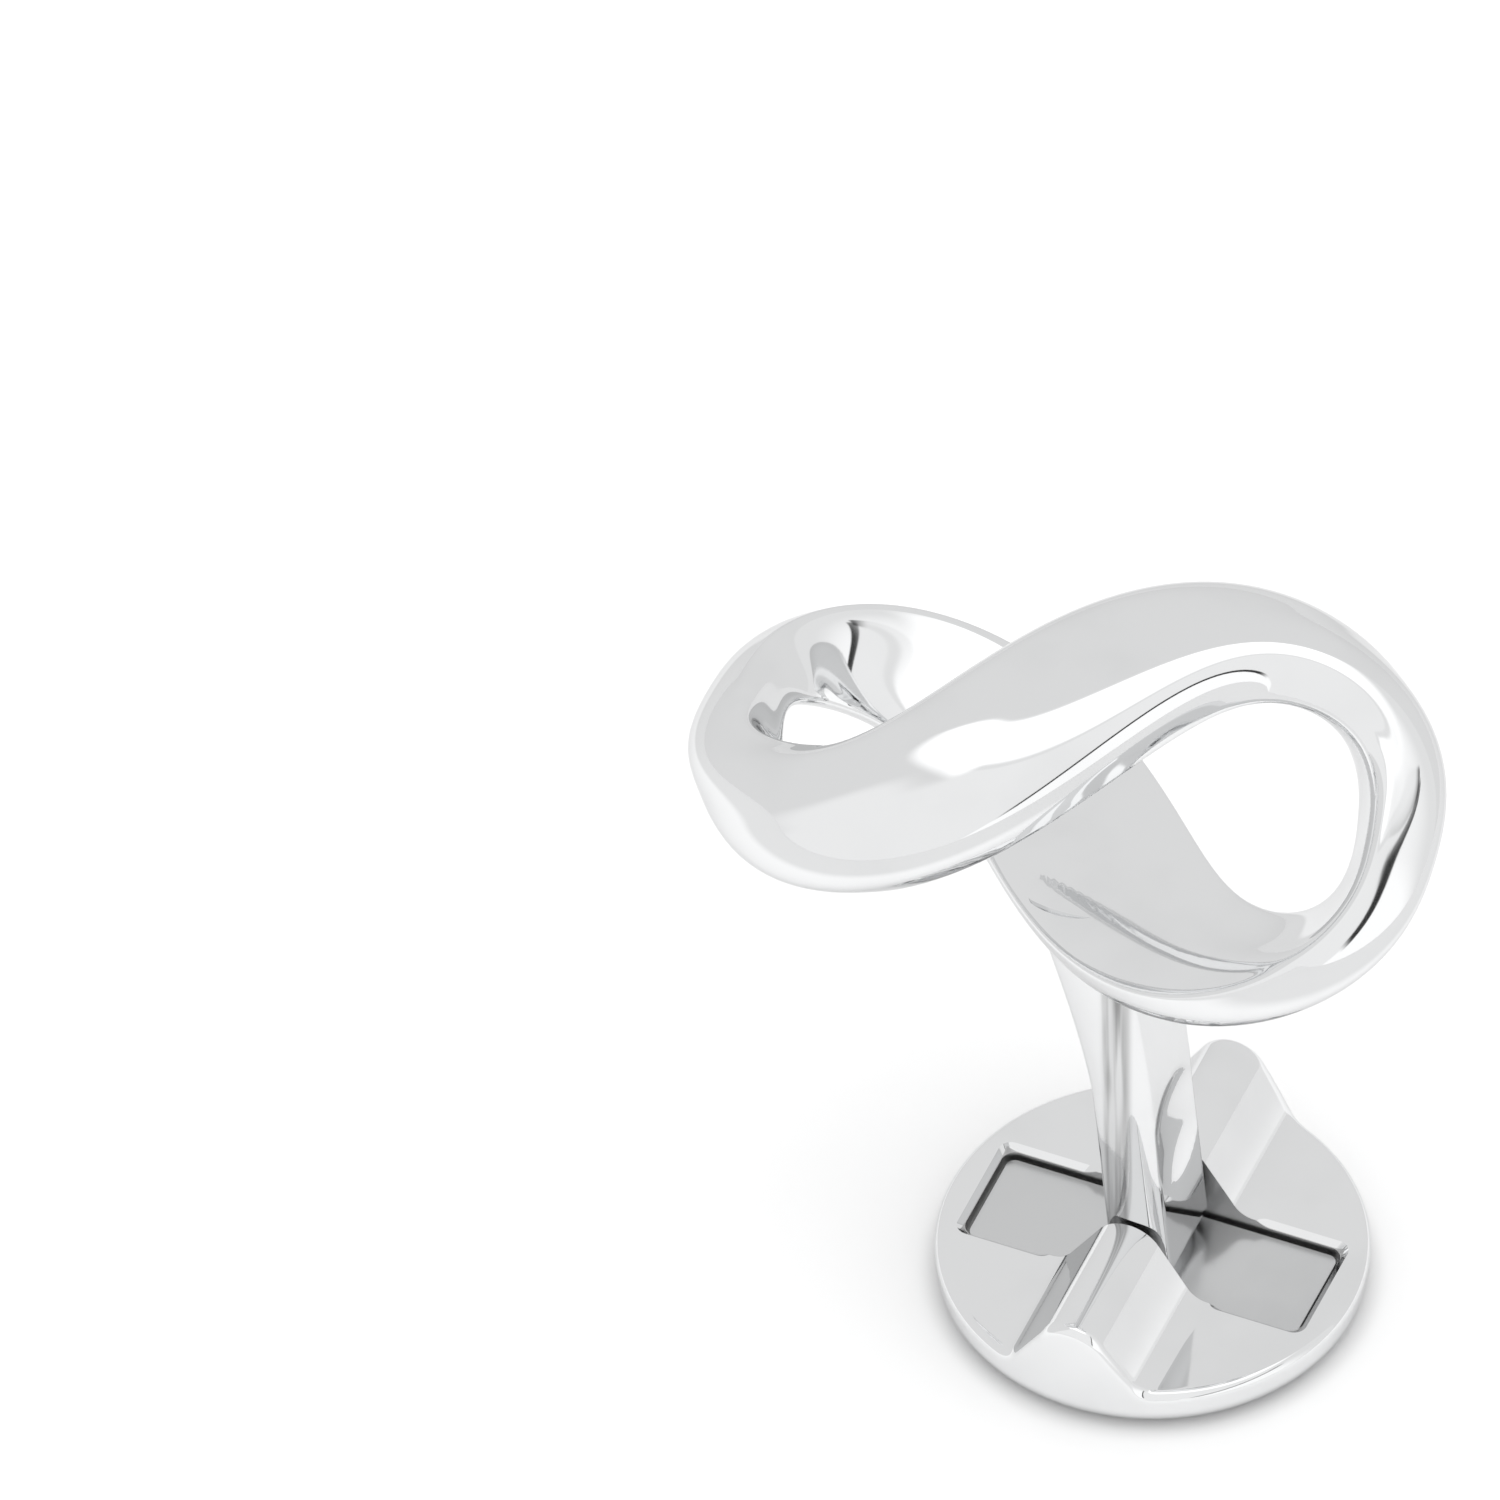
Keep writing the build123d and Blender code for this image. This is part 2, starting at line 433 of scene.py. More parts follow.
POLISHED = MetalFinish(
    name="polished_plating",
    tint=(0.83, 0.835, 0.84),
    handled_tint=(0.80, 0.805, 0.81),
    roughness=0.045,
    haze=0.02,
    mark_height=2e-7,
)
# The disc's finish: painted shade darkens the walls of its window, a recess where shade falls, and roughens
# them.
SHADED_WINDOW = replace(
    POLISHED,
    name="polished_plating_with_painted_window_shade",
    dull_painted_shade=DullPaintedShade(5.87 * MM, 1.965 * MM, blur=0.012 * MM, tint=0.52, roughness=0.3),
)
# The post's finish: dark upright streaks painted on its front as a painted reflection, with added roughness.
PAINTED_REFLECTION_STREAKS = replace(
    POLISHED,
    name="polished_plating_with_painted_reflection_streaks",
    dull_painted_shade=DullPaintedShade(
        0.4 * MM,
        1.6 * MM,
        blur=0.22 * MM,
        tint=0.28,
        roughness=0.12,
        middle=(-0.5 * MM, -2.6 * MM),
        streaks=2600.0,
    ),
)
# The plate's finish: painted shade darkens a thin band round its rim, where the gap round the plate lies in
# shade, and roughens it.
SATIN_PLATE = MetalFinish(
    name="plate_metal",
    tint=(0.66, 0.665, 0.67),
    handled_tint=(0.62, 0.625, 0.63),
    roughness=0.2,
    haze=0.05,
    mark_height=1e-6,
    dull_painted_shade=DullPaintedShade(5.74 * MM, 1.84 * MM, blur=0.08 * MM, tint=0.3, roughness=0.4, outside=True),
)
PLAIN_STEEL = MetalFinish(
    name="pin_steel",
    tint=(0.60, 0.61, 0.62),
    handled_tint=(0.56, 0.57, 0.58),
    roughness=0.22,
    haze=0.05,
    mark_height=2e-6,
)


# The folded band


class Column(IntEnum):
    """Columns of the band's rows: shares of its sizes, and its roll in degrees."""

    REACH, SIDE, RISE, WIDTH, BELLY, ROLL = range(6)


@dataclass(frozen=True)
class Ledge:
    """The soft ledge on the inner face of the lower strand.

    Attributes:
        height: Height of its crest.
        middle, reach: Turn of its middle in degrees, and degrees that it runs either way.
        crest: Share of the half width where its crest lies, in the middle.
        bow: How much further out the crest lies, as a share for each degree squared.
        steep, gentle: Reach of its steep and its gentle side, as shares of the half width.
    """

    height: float = 0.3 * MM
    middle: float = 158.0
    reach: float = 25.0
    crest: float = -0.16
    bow: float = 0.0009
    steep: float = 0.15
    gentle: float = 0.5

    def height_at(self, turn: np.ndarray, across: np.ndarray) -> np.ndarray:
        """Height of the ledge over the inner face.

        Args:
            turn: Turns along the band, in radians.
            across: Places across the strand, as shares of its half width.

        Returns:
            One height for each place.
        """
        along = np.degrees(np.mod(turn, 2 * pi)) - self.middle
        past_crest = across - self.crest + self.bow * along**2
        share = past_crest / np.where(past_crest < 0, self.steep, self.gentle)
        return self.height * np.exp(-(share**2) - (along / self.reach) ** 4)


@dataclass
class FoldedBand:
    """The figure of eight: a D-section band that turns over once on its way round.

    Attributes:
        loop_reach, loop_side: Half length and half width of the band's centre line.
        strand_rise: Half the height between the strands where they cross.
        half_width: Half width of the strand at its widest.
        crown, belly: Height of the outer face over the centre line, and depth of the inner face.
        crown_power, belly_power: Fullness of both faces' curves.
        rows: The band at equal turns from the upper crossing round the +X loop to the lower one.
        odd_columns: Columns that change sign at the crossings. The others are level there.
        steps_along: Sections round the band.
        steps_across: Points round a section.
        middling: Shares of half_width and belly on the strand that the points are spaced for.
        fine_steps: Short steps that the way round a section is measured in.
        sharp_angle: Degrees over which an edge is shaded sharp.
        ledge: The ledge on its inner face.
    """

    loop_reach: float = 10.7 * MM
    loop_side: float = 4.4 * MM
    strand_rise: float = 3.56 * MM
    half_width: float = 3.0 * MM
    crown: float = 1.9 * MM
    belly: float = 0.8 * MM
    crown_power: float = 2.7
    belly_power: float = 4.0
    rows: tuple[tuple[float, ...], ...] = (
        (0.00, 0.00, 0.97, 0.98, 1.02, 0.0),
        (0.49, 0.98, 0.69, 0.83, 0.98, -1.0),
        (0.90, 0.63, 0.26, 0.62, 0.99, -30.0),
        (1.00, -0.04, 0.13, 0.37, 0.80, -32.0),
        (0.92, -0.64, -0.21, 0.49, 0.55, -20.0),
        (0.51, -0.86, -0.78, 0.79, 0.48, -23.0),
        (0.00, 0.00, -1.09, 1.01, 0.44, 0.0),
    )
    odd_columns: tuple[Column, ...] = (Column.REACH, Column.SIDE, Column.ROLL)
    steps_along: int = 640
    steps_across: int = 120
    middling: float = 0.7
    fine_steps: int = 4000
    sharp_angle: float = 60.0
    ledge: Ledge = Ledge()

    def share(self, column: Column, turn: np.ndarray, order: int = 0) -> np.ndarray:
        """A column of the rows as a smooth function of the turn, or its slope.

        Args:
            column: The column.
            turn: Turns in radians.
            order: 0 for the value and 1 for the slope.

        Returns:
            One value for each turn.
        """
        steps = len(self.rows) - 1
        values = [row[column] for row in self.rows]
        odd = column in self.odd_columns
        result = np.zeros_like(turn)
        for k in range(steps + 1):
            wave = sin if odd else cos
            total = sum(values[i] * wave(k * pi * i / steps) for i in range(1, steps))
            total += 0.0 if odd else (values[0] + values[-1] * cos(k * pi)) / 2
            part = (1 if k in (0, steps) else 2) / steps * total
            if odd:
                result += part * (k * np.cos(k * turn) if order else np.sin(k * turn))
            else:
                result += part * (-k * np.sin(k * turn) if order else np.cos(k * turn))
        return result

    def section(self, around: np.ndarray) -> tuple[np.ndarray, np.ndarray]:
        """The outline of a section.

        Args:
            around: Angles round it, in radians.

        Returns:
            Shares of the half width across, and shares of the crown or belly up.
        """
        power = 2 / np.where(np.sin(around) >= 0, self.crown_power, self.belly_power)
        across, up = (np.sign(part) * np.abs(part) ** power for part in (np.cos(around), np.sin(around)))
        return across, up

    def even_steps(self) -> np.ndarray:
        """Even steps along the outline of a section of middling width.

        Returns:
            The angle round the section of each step.
        """
        fine = np.linspace(0, 2 * pi, self.fine_steps + 1)
        across, up = self.section(fine)
        width = self.middling * self.half_width
        depth = np.where(up >= 0, self.crown, self.middling * self.belly)
        length = np.concatenate([[0], np.cumsum(np.hypot(np.diff(across * width), np.diff(up * depth)))])
        wanted = np.arange(self.steps_across) / self.steps_across * length[-1]
        return np.interp(wanted, length, fine)

    def surface(self, turn: np.ndarray, around: np.ndarray) -> np.ndarray:
        """Points of the band's surface.

        Args:
            turn: Turn of each point along the band, in radians.
            around: Angle of each point round its section, in radians.

        Returns:
            One row of x, y and z for each point, about the band's own middle.
        """
        sizes = {Column.REACH: self.loop_reach, Column.SIDE: self.loop_side, Column.RISE: self.strand_rise}
        centre, along = (
            np.stack([size * self.share(column, turn, order) for column, size in sizes.items()], axis=1)
            for order in (0, 1)
        )
        along /= np.linalg.norm(along, axis=1, keepdims=True)
        level = np.cross((0.0, 0.0, 1.0), along)
        level /= np.linalg.norm(level, axis=1, keepdims=True)
        over = np.cross(along, level)
        roll = (-turn + np.radians(self.share(Column.ROLL, turn)))[:, None]
        width_way = np.cos(roll) * level + np.sin(roll) * over
        crown_way = np.cos(roll) * over - np.sin(roll) * level
        across, up = self.section(around)
        half_width = self.half_width * self.share(Column.WIDTH, turn)
        depth = np.where(up >= 0, self.crown, self.belly * self.share(Column.BELLY, turn))
        rise = depth * up - self.ledge.height_at(turn, across) * np.maximum(0, -up) ** 2
        return centre + (half_width * across)[:, None] * width_way + rise[:, None] * crown_way

    def build(self, seat: Matrix) -> bpy.types.Object:
        """Draw a ring into the folded band.

        Args:
            seat: Where the band's middle goes.

        Returns:
            The band.
        """
        clear_selection()
        bpy.ops.mesh.primitive_torus_add(
            major_segments=self.steps_along,
            minor_segments=self.steps_across,
            major_radius=self.loop_reach,
            minor_radius=self.crown,
        )
        piece = added("folded_band")
        points = vertices_of(piece)
        turn = np.arctan2(points[:, 1], points[:, 0])
        from_ring = np.hypot(points[:, 0], points[:, 1]) - self.loop_reach
        step = np.round(np.arctan2(points[:, 2], from_ring) / (2 * pi) * self.steps_across).astype(int)
        around = self.even_steps()[step % self.steps_across]
        place_vertices(piece, self.surface(turn, around))
        piece.data.transform(seat)
        with editing(piece):
            face_outward()
        smooth(piece, self.sharp_angle)
        return piece


@dataclass
class FlutedPost:
    """The stem under the band: bulging front and back, a flute in each flat side, and a round foot.

    Heights are measured from the hinge's axis, and places across from it.

    Attributes:
        thickness, offset: Thickness along X of the straight stem, and its middle's place.
        bulge: Height of the bulge on its front and back.
        top_thickness, top_offset: The same at the flared top.
        width, top_width: Width along Y of the stem and of its top.
        flare_start, flare_power: Height at which the flare begins, and how gently.
        foot_radius: Radius of the round foot.
        flute_depth, flute_bottom, flute_top: Depth of the flutes, and the heights of their ends.
        edge_round: Radius of the upright edges.
        points_on_face, points_on_edge, points_on_flute: Points on half of the front, on an upright
            edge and on half of a side.
        rings, foot_share: Rings of faces from foot to top, and the share of them in the foot.
        foot_end: Depth of the lowest ring, as a share of the foot's radius.
        sharp_angle: Degrees over which an edge is shaded sharp.
    """

    thickness: float = 2.1 * MM
    offset: float = 0.15 * MM
    bulge: float = 0.25 * MM
    top_thickness: float = 3.1 * MM
    top_offset: float = -0.65 * MM
    width: float = 3.7 * MM
    top_width: float = 4.5 * MM
    flare_start: float = 6.5 * MM
    flare_power: float = 1.4
    foot_radius: float = 1.58 * MM
    flute_depth: float = 0.25 * MM
    flute_bottom: float = 1.9 * MM
    flute_top: float = 6.4 * MM
    edge_round: float = 0.16 * MM
    points_on_face: int = 16
    points_on_edge: int = 8
    points_on_flute: int = 40
    rings: int = 101
    foot_share: float = 0.12
    foot_end: float = 0.998
    sharp_angle: float = 35.0

    def flare(self, height: float, top: float) -> float:
        """Share of the way from the foot's size to the top's, as a gentle curve."""
        share = max(0.0, (height - self.flare_start) / (top - self.flare_start))
        return share**self.flare_power

    def hollow(self, across: float, height: float) -> float:
        """Depth of the flute under the flat side.

        Args:
            across: Place along the side, from its middle.
            height: Height over the hinge's axis.

        Returns:
            The depth, or nothing outside the flute.
        """
        reach = self.width / 2 - self.bulge
        radius = (reach**2 + self.flute_depth**2) / (2 * self.flute_depth)
        past_end = max(self.flute_bottom + reach - height, height - self.flute_top + reach, 0.0)
        room = radius**2 - across**2 - past_end**2
        return max(0.0, sqrt(max(0.0, room)) - radius + self.flute_depth)

    def quarter(self, side: int, height: float, top: float) -> list[tuple[float, float]]:
        """The front half of one side of the outline at one height.

        Args:
            side: 1 for the +X side and -1 for the -X side.
            height: Height over the hinge's axis.
            top: Height of the post's top.

        Returns:
            Points from the middle of the front to the middle of the side.
        """
        flare = self.flare(height, top)
        middle = self.offset + flare * (self.top_offset - self.offset)
        half = (self.thickness + flare * (self.top_thickness - self.thickness)) / 2
        depth = (self.width + flare * (self.top_width - self.width)) / 2
        bend = (half**2 + self.bulge**2) / (2 * self.bulge)
        room = sqrt(max(0.0, self.foot_radius**2 - height**2)) if height < 0 else self.foot_radius * 2
        inner = side * middle
        flank = min(half + inner, room)
        start = max(flank - self.edge_round, -inner if flank > -inner else 0.0)

        def front(reach: float) -> float:
            """Depth of the bulging front at a distance from the hinge."""
            return -depth + bend - sqrt(max(0.0, bend**2 - (reach - inner) ** 2))

        points = []
        for i in range(self.points_on_face):
            reach = inner + (start - inner) * i / self.points_on_face
            points.append((reach, front(reach)))
        edge_end = self.bulge - depth + self.edge_round
        for i in range(self.points_on_edge):
            t = i / self.points_on_edge
            shares = np.array(((1 - t) ** 2, 2 * t * (1 - t), t**2))
            reach = shares @ (start, flank, flank - self.hollow(edge_end, height))
            points.append((reach, shares @ (front(start), front(flank), edge_end)))
        for i in range(self.points_on_flute + 1):
            y = edge_end * (1 - i / self.points_on_flute)
            points.append((flank - self.hollow(y, height), y))
        return [(side * reach, y) for reach, y in points]

    def outline(self, height: float, top: float) -> list[tuple[float, float]]:
        """Outline of the post at one height, starting in the middle of its front.

        Args:
            height: Height over the hinge's axis.
            top: Height of the post's top.

        Returns:
            Points in order round the post, counted the same at every height.
        """
        right, left = (self.quarter(side, height, top) for side in (1, -1))
        back = [(x, -y) for x, y in right[-2::-1] + left[1:-1]]
        return right + back + left[:0:-1]

    def build(self, top: float, stance: Matrix) -> bpy.types.Object:
        """Draw a tube into the post.

        Args:
            top: Height of the post's top, inside the band.
            stance: Where the post stands, and how it leans.

        Returns:
            The post.
        """
        around = len(self.outline(0.0, top))
        bottom = -self.foot_radius * self.foot_end
        clear_selection()
        bpy.ops.mesh.primitive_cylinder_add(
            vertices=around, radius=self.width, depth=top - bottom, location=(0, 0, (top + bottom) / 2)
        )
        piece = added("post")
        with editing(piece) as mesh:
            select_edges(mesh, upright)
            bpy.ops.mesh.subdivide(number_cuts=self.rings - 1)
        points = vertices_of(piece)
        ring = np.round((points[:, 2] - bottom) / (top - bottom) * self.rings).astype(int)
        turn = np.arctan2(points[:, 1], points[:, 0])
        order = np.round(turn / (2 * pi) * around).astype(int) - around // 4
        placed = []
        for share in np.arange(self.rings + 1) / self.rings:
            if share < self.foot_share:
                height = bottom * cos(pi / 2 * share / self.foot_share)
            else:
                height = top * (share - self.foot_share) / (1 - self.foot_share)
            placed.append([(x, y, height) for x, y in self.outline(height, top)])
        place_vertices(piece, np.array(placed)[ring, order % around])
        with editing(piece):
            merge_close()
            face_outward()
        piece.data.transform(stance)
        smooth(piece, self.sharp_angle)
        return piece


@dataclass
class FaceAssembly:
    """The band and the post, one soldered piece that swings on the hinge.

    Attributes:
        band, post: The two parts of it.
        face_height, face_offset: Height of the band's middle over the hinge, and its place along X.
        post_lean: Degrees that the post leans to -X.
        face_tip, face_cant, face_turn: Degrees that the band is turned about Y, X and Z.
    """

    band: FoldedBand = field(default_factory=FoldedBand)
    post: FlutedPost = field(default_factory=FlutedPost)
    face_height: float = 19.36 * MM
    face_offset: float = -1.18 * MM
    post_lean: float = 5.0
    face_tip: float = 1.5
    face_cant: float = 12.0
    face_turn: float = 3.5

    def stance(self) -> Matrix:
        """The hinge's place and the post's lean."""
        hinge = Vector(frame["joints"][0]["pos_m"])
        return Matrix.Translation(hinge) @ Matrix.Rotation(radians(-self.post_lean), 4, "Y")

    def seat(self) -> Matrix:
        """The band's place and turn over the post."""
        return (
            Matrix.Translation((self.face_offset, 0, self.face_height))
            @ Matrix.Rotation(radians(self.face_tip), 4, "Y")
            @ Matrix.Rotation(radians(self.face_cant), 4, "X")
            @ Matrix.Rotation(radians(self.face_turn), 4, "Z")
        )

    def build(self, polish: bpy.types.Material, painted_reflection_streaks: bpy.types.Material) -> None:
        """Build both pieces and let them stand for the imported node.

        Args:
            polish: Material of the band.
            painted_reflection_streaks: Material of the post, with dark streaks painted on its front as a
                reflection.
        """
        top = self.face_height + self.band.strand_rise * self.band.rows[-1][Column.RISE]
        band = self.band.build(self.stance() @ self.seat())
        post = self.post.build(top, self.stance())
        for piece, material in ((band, polish), (post, painted_reflection_streaks)):
            dress(piece, material)
            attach(piece, Body.FACE.value)
            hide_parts(Node.FACE_AND_POST.value)


# The toggle


@dataclass
class ToggleDisc:
    """The disc with the ridge across it and the window across the ridge.

    Attributes:
        radius, thickness: Radius and thickness of the disc.
        upper_round, lower_round: Radius of the rim's upper and lower edge.
        hinge_height: Height of the hinge's axis over the disc's top.
        crest_radius, flank_angle: Radius of the ridge's crest, and degrees of its flanks.
        foot_round: Radius of the hollow at the ridge's foot.
        window_end_wall: Metal between the window's ends and the rim.
        window_width, window_depth: Width of the window, and its depth to the plate.
        window_corner, window_chamfer: Radius of its corners, and the chamfer along its arms.
        plate_thickness, plate_gap, plate_bevel: The plate, the gap round it and its upper bevel.
        steps_across, steps_along: Steps over the disc's top, across the ridge and along it.
        rim_steps, corner_steps, bevel_steps: Steps round the rim's lower edge, a corner of the
            window and the plate's bevel.
        overcut: How far a cutter stands past what it cuts.
        sharp_angle, plate_sharp_angle: Degrees over which an edge of each is shaded sharp.
    """

    radius: float = 7.0 * MM
    thickness: float = 1.6 * MM
    upper_round: float = 0.35 * MM
    lower_round: float = 0.9 * MM
    hinge_height: float = 1.3 * MM
    crest_radius: float = 1.2 * MM
    flank_angle: float = 57.0
    foot_round: float = 0.8 * MM
    window_end_wall: float = 1.15 * MM
    window_width: float = 3.9 * MM
    window_depth: float = 0.4 * MM
    window_corner: float = 0.45 * MM
    window_chamfer: float = 0.2 * MM
    plate_thickness: float = 0.3 * MM
    plate_gap: float = 0.12 * MM
    plate_bevel: float = 0.04 * MM
    steps_across: int = 300
    steps_along: int = 120
    rim_steps: int = 10
    corner_steps: int = 10
    bevel_steps: int = 3
    overcut: float = 0.1 * MM
    sharp_angle: float = 30.0
    plate_sharp_angle: float = 40.0

    @property
    def window_length(self) -> float:
        """Length of the window."""
        return 2 * (self.radius - self.window_end_wall)

    @property
    def plate_seat(self) -> float:
        """Height of the seat that the plate lies on."""
        return self.thickness - self.window_depth - self.plate_thickness

    @property
    def ridge_foot(self) -> float:
        """Distance from the middle to where the ridge runs out into the disc."""
        slope = radians(self.flank_angle)
        drop = self.hinge_height + self.crest_radius * cos(slope) - self.foot_round * (1 - cos(slope))
        return (self.crest_radius + self.foot_round) * sin(slope) + drop / tan(slope)

    def ridge(self, across: np.ndarray) -> np.ndarray:
        """Height of the ridge over the disc's top.

        Args:
            across: Distances from the middle of the ridge.

        Returns:
            One height for each distance.
        """
        slope = radians(self.flank_angle)
        x = np.abs(across)
        crest_end = self.crest_radius * sin(slope)
        hollow_start = self.ridge_foot - self.foot_round * sin(slope)
        crest = self.hinge_height + np.sqrt(np.maximum(0, self.crest_radius**2 - x**2))
        flank = self.hinge_height + self.crest_radius * cos(slope) - (x - crest_end) * tan(slope)
        hollow = self.foot_round - np.sqrt(np.maximum(0, self.foot_round**2 - (self.ridge_foot - x) ** 2))
        return np.select(
            [x < crest_end, x < hollow_start, x < self.ridge_foot], [crest, flank, hollow], default=0.0
        )

    def draw_top(self) -> bpy.types.Object:
        """A grid drawn into the disc's top, with its ridge and its rounded rim.

        Returns:
            The open shell.
        """
        clear_selection()
        bpy.ops.mesh.primitive_grid_add(
            x_subdivisions=self.steps_across, y_subdivisions=self.steps_along, size=2
        )
        piece = added("toggle_disc_shell")
        points = vertices_of(piece)
        x = self.radius * np.sin(points[:, 0] * pi / 2)
        y = np.sqrt(np.maximum(0, self.radius**2 - x**2)) * np.sin(points[:, 1] * pi / 2)
        into_rim = np.clip(np.hypot(x, y) - (self.radius - self.upper_round), 0, self.upper_round)
        drop = self.upper_round - np.sqrt(np.maximum(0, self.upper_round**2 - into_rim**2))
        place_vertices(piece, np.stack([x, y, self.thickness + self.ridge(x) - drop], axis=1))
        with editing(piece):
            merge_close()
        return piece

    def close_under(self, piece: bpy.types.Object) -> None:
        """Draw the rim's wall down, round it in and close the flat underside.

        Args:
            piece: The open shell of the disc's top.
        """
        with editing(piece):
            bpy.ops.mesh.select_mode(type="EDGE")
            bpy.ops.mesh.select_non_manifold()
            bpy.ops.mesh.extrude_region_move()
            bpy.ops.transform.resize(value=(1, 1, 0), center_override=(0, 0, self.lower_round))
            radius, height = self.radius, self.lower_round
            for i in range(1, self.rim_steps + 1):
                angle = pi / 2 * i / self.rim_steps
                new_radius = self.radius - self.lower_round * (1 - cos(angle))
                new_height = self.lower_round * (1 - sin(angle))
                bpy.ops.mesh.extrude_region_move(
                    TRANSFORM_OT_translate={"value": (0, 0, new_height - height)}
                )
                share = new_radius / radius
                bpy.ops.transform.resize(value=(share, share, 1), center_override=(0, 0, 0))
                radius, height = new_radius, new_height
            bpy.ops.mesh.edge_face_add()
            face_outward()

    def block(
        self, name: str, size: Vector, low: float, corner: float, middle: float = 0.0
    ) -> bpy.types.Object:
        """A block with rounded upright edges.

        Args:
            name: Name of the piece.
            size: Its length, width and height.
            low: Height of its underside.
            corner: Radius of its upright edges.
            middle: Place of its middle along X.

        Returns:
            The block.
        """
        clear_selection()
        bpy.ops.mesh.primitive_cube_add(size=1, location=(middle, 0, low + size.z / 2), scale=size)
        piece = added(name)
        with editing(piece) as mesh:
            select_edges(mesh, upright)
            bpy.ops.mesh.bevel(offset=corner, segments=self.corner_steps, affect="EDGES")
        return piece

    def cut_window(self, piece: bpy.types.Object) -> None:
        """Cut the window and the chamfers along its arms.

        Args:
            piece: The closed disc.
        """
        height = self.thickness + self.hinge_height + self.crest_radius
        size = Vector((self.window_length, self.window_width, height))
        cut_away(piece, self.block("window_cutter", size, self.plate_seat, self.window_corner))
        deep = self.window_chamfer + self.overcut
        length = self.window_length / 2 + self.window_chamfer - self.ridge_foot
        for side in (-1, 1):
            middle = side * (self.ridge_foot + length / 2)
            size = Vector((length + 2 * self.overcut, self.window_width + 2 * deep, deep))
            low = self.thickness - self.window_chamfer
            arm = self.block("chamfer_cutter", size, low, self.window_corner, middle)
            low_size = (1 - 2 * deep / size.x, 1 - 2 * deep / size.y, 1)
            half_way = self.thickness - self.window_chamfer / 2
            with editing(arm) as mesh:
                select_edges(mesh, lambda a, b: max(a.z, b.z) < half_way)
                bpy.ops.transform.resize(value=low_size, center_override=(middle, 0, 0))
            cut_away(piece, arm)

    def plate(self) -> bpy.types.Object:
        """Build the plate on the window's floor, with its upper edge eased.

        Returns:
            The plate.
        """
        gap = 2 * self.plate_gap
        size = Vector((self.window_length - gap, self.window_width - gap, self.plate_thickness))
        piece = self.block("window_plate", size, self.plate_seat, self.window_corner - self.plate_gap)
        top = self.plate_seat + self.plate_thickness
        with editing(piece) as mesh:
            select_edges(mesh, lambda a, b: min(a.z, b.z) > top - self.plate_bevel)
            bpy.ops.mesh.bevel(offset=self.plate_bevel, segments=self.bevel_steps, affect="EDGES")
        smooth(piece, self.plate_sharp_angle)
        return piece

    def build(self, shaded_window: bpy.types.Material, satin: bpy.types.Material) -> None:
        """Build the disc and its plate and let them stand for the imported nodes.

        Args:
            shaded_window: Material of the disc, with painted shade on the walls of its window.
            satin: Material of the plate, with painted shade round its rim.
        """
        disc = self.draw_top()
        self.close_under(disc)
        self.cut_window(disc)
        smooth(disc, self.sharp_angle)
        plate = self.plate()
        for piece, node, material, slot in (
            (disc, Node.DISC, shaded_window, Slot.PLATING.value),
            (plate, Node.PLATE, satin, Slot.PLATE.value),
        ):
            dress(piece, material)
            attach(piece, Body.TOGGLE.value)
            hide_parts(node.value)


# Studio


@dataclass
class PhotoView:
    """The photograph's viewing angle and framing, with no perspective.

    Attributes:
        azimuth: Degrees round from the front.
        elevation: Degrees over the table.
        frame_width: Width of the picture at the object.
        aim: The point in the middle of the picture.
        distance: How far off the camera stands.
    """

    azimuth: float = 22.5
    elevation: float = 47.1
    frame_width: float = 48.08 * MM
    aim: tuple[float, float, float] = (-20.19 * MM, 15.02 * MM, 1.3 * MM)
    distance: float = 0.5

    def towards(self) -> Vector:
        """Direction from the object to the camera."""
        return direction(self.azimuth, self.elevation)

    def build(self) -> None:
        """Place the camera."""
        lens = bpy.data.cameras.new("photo_camera")
        lens.type = "ORTHO"
        lens.ortho_scale = self.frame_width
        lens.clip_end = 4 * self.distance
        camera = bpy.data.objects.new("photo_camera", lens)
        bpy.context.scene.collection.objects.link(camera)
        camera.location = Vector(self.aim) + self.towards() * self.distance
        camera.rotation_euler = self.towards().to_track_quat("Z", "Y").to_euler()
        bpy.context.scene.camera = camera


@dataclass(frozen=True)
class PanelEdge:
    """One edge of the front panel, a wide circle drawn on the tent.

    Attributes:
        azimuth: Degrees from the camera's side to the middle of the panel's side of the circle.
        elevation: Degrees up to it.
        spread: Degrees from there to the edge.
        blur: Half width of the edge's blur, as a share of the cosine.
    """

    azimuth: float
    elevation: float
    spread: float
    blur: float


